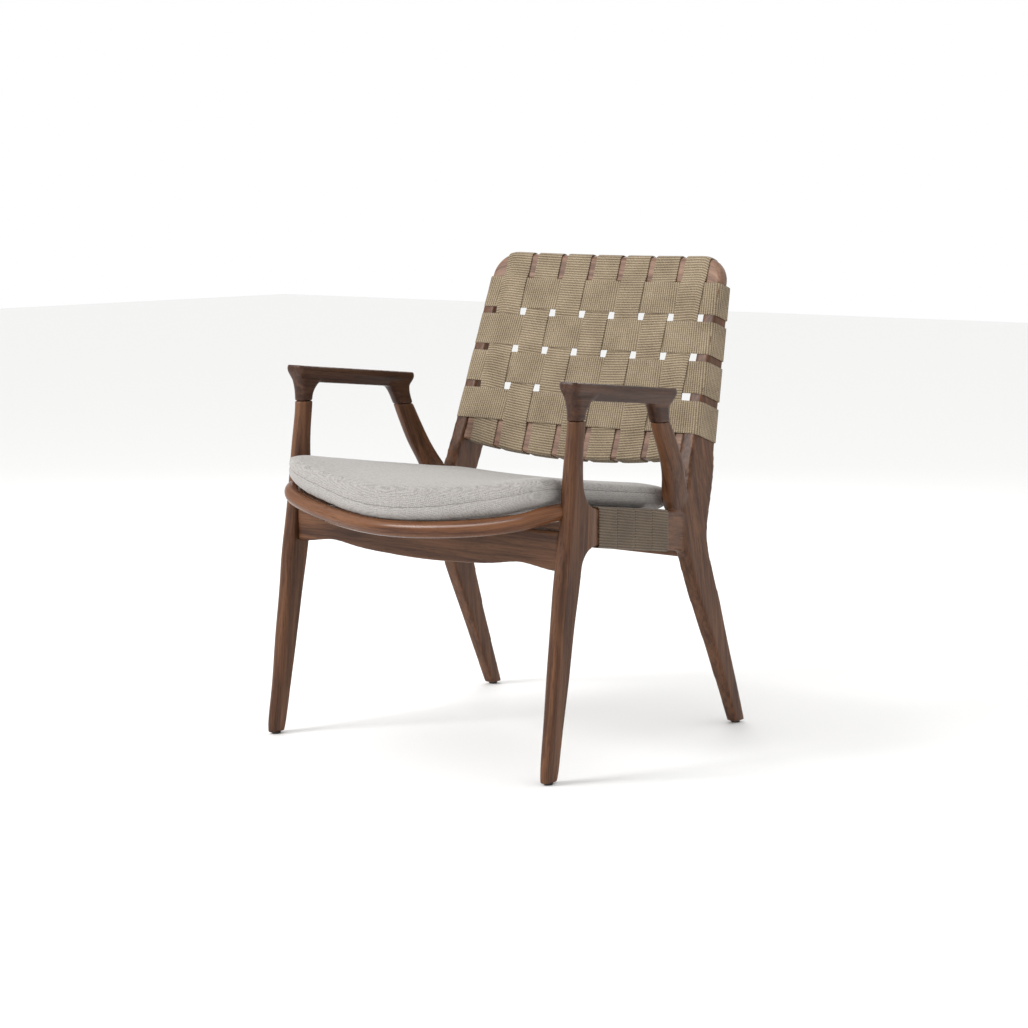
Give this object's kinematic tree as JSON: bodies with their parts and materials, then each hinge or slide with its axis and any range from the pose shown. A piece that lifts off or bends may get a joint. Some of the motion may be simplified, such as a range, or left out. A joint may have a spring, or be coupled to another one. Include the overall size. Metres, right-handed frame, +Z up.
{
  "type": "armchair",
  "caption": "Solid walnut armchair with woven webbing back, webbing seat slung between the side rails, flat-topped arms and a loose saddle-shaped seat cushion.",
  "frame": {"origin": "on the floor, centred under the chair's overall box", "axes": "-Y is the way the sitter faces, +X is the sitter's left, +Z up"},
  "size_m": [0.6344, 0.6612, 0.828],
  "materials": {
    "walnut": "oiled",
    "walnut_bar": "oiled, satin",
    "jute_webbing": "woven, matte",
    "cushion_fabric": "woven, matte",
    "cushion_foam": "matte",
    "zip_tape": "matte",
    "glide_nylon": "matte",
    "beech_dowel": "raw",
    "staple_wire": "galvanised"
  },
  "bodies": {
    "frame": {"apron_dowels": "beech_dowel", "arm_dowels": "beech_dowel", "arm_strut_left": "walnut", "arm_strut_right": "walnut", "armrest_left": "walnut", "armrest_right": "walnut", "back_bottom_rail": "walnut", "back_cross_strap_1": "jute_webbing", "back_cross_strap_2": "jute_webbing", "back_cross_strap_3": "jute_webbing", "back_cross_strap_4": "jute_webbing", "back_rail_dowels": "beech_dowel", "back_staples": "staple_wire", "back_top_rail": "walnut", "back_upright_strap_1": "jute_webbing", "back_upright_strap_2": "jute_webbing", "back_upright_strap_3": "jute_webbing", "back_upright_strap_4": "jute_webbing", "back_upright_strap_5": "jute_webbing", "back_upright_strap_6": "jute_webbing", "back_upright_strap_7": "jute_webbing", "front_apron": "walnut", "front_bar": "walnut_bar", "front_bar_dowels": "beech_dowel", "front_leg_left": "walnut", "front_leg_right": "walnut", "glide_front_left": "glide_nylon", "glide_front_right": "glide_nylon", "glide_rear_left": "glide_nylon", "glide_rear_right": "glide_nylon", "rear_leg_left": "walnut", "rear_leg_right": "walnut", "rear_rail": "walnut", "rear_rail_dowels": "beech_dowel", "seat_staples": "staple_wire", "seat_strap_1": "jute_webbing", "seat_strap_2": "jute_webbing", "seat_strap_3": "jute_webbing", "seat_strap_4": "jute_webbing", "side_rail_dowels": "beech_dowel", "side_rail_left": "walnut", "side_rail_right": "walnut", "strut_dowels": "beech_dowel"},
    "cushion": {"cushion_cover": "cushion_fabric", "cushion_foam": "cushion_foam", "cushion_zip": "zip_tape"}
  },
  "joints": [
    {"name": "cushion_lift", "type": "slide", "parent": "frame", "child": "cushion", "axis": [0, 0, 1], "range_m": [0, 0.08]}
  ]
}
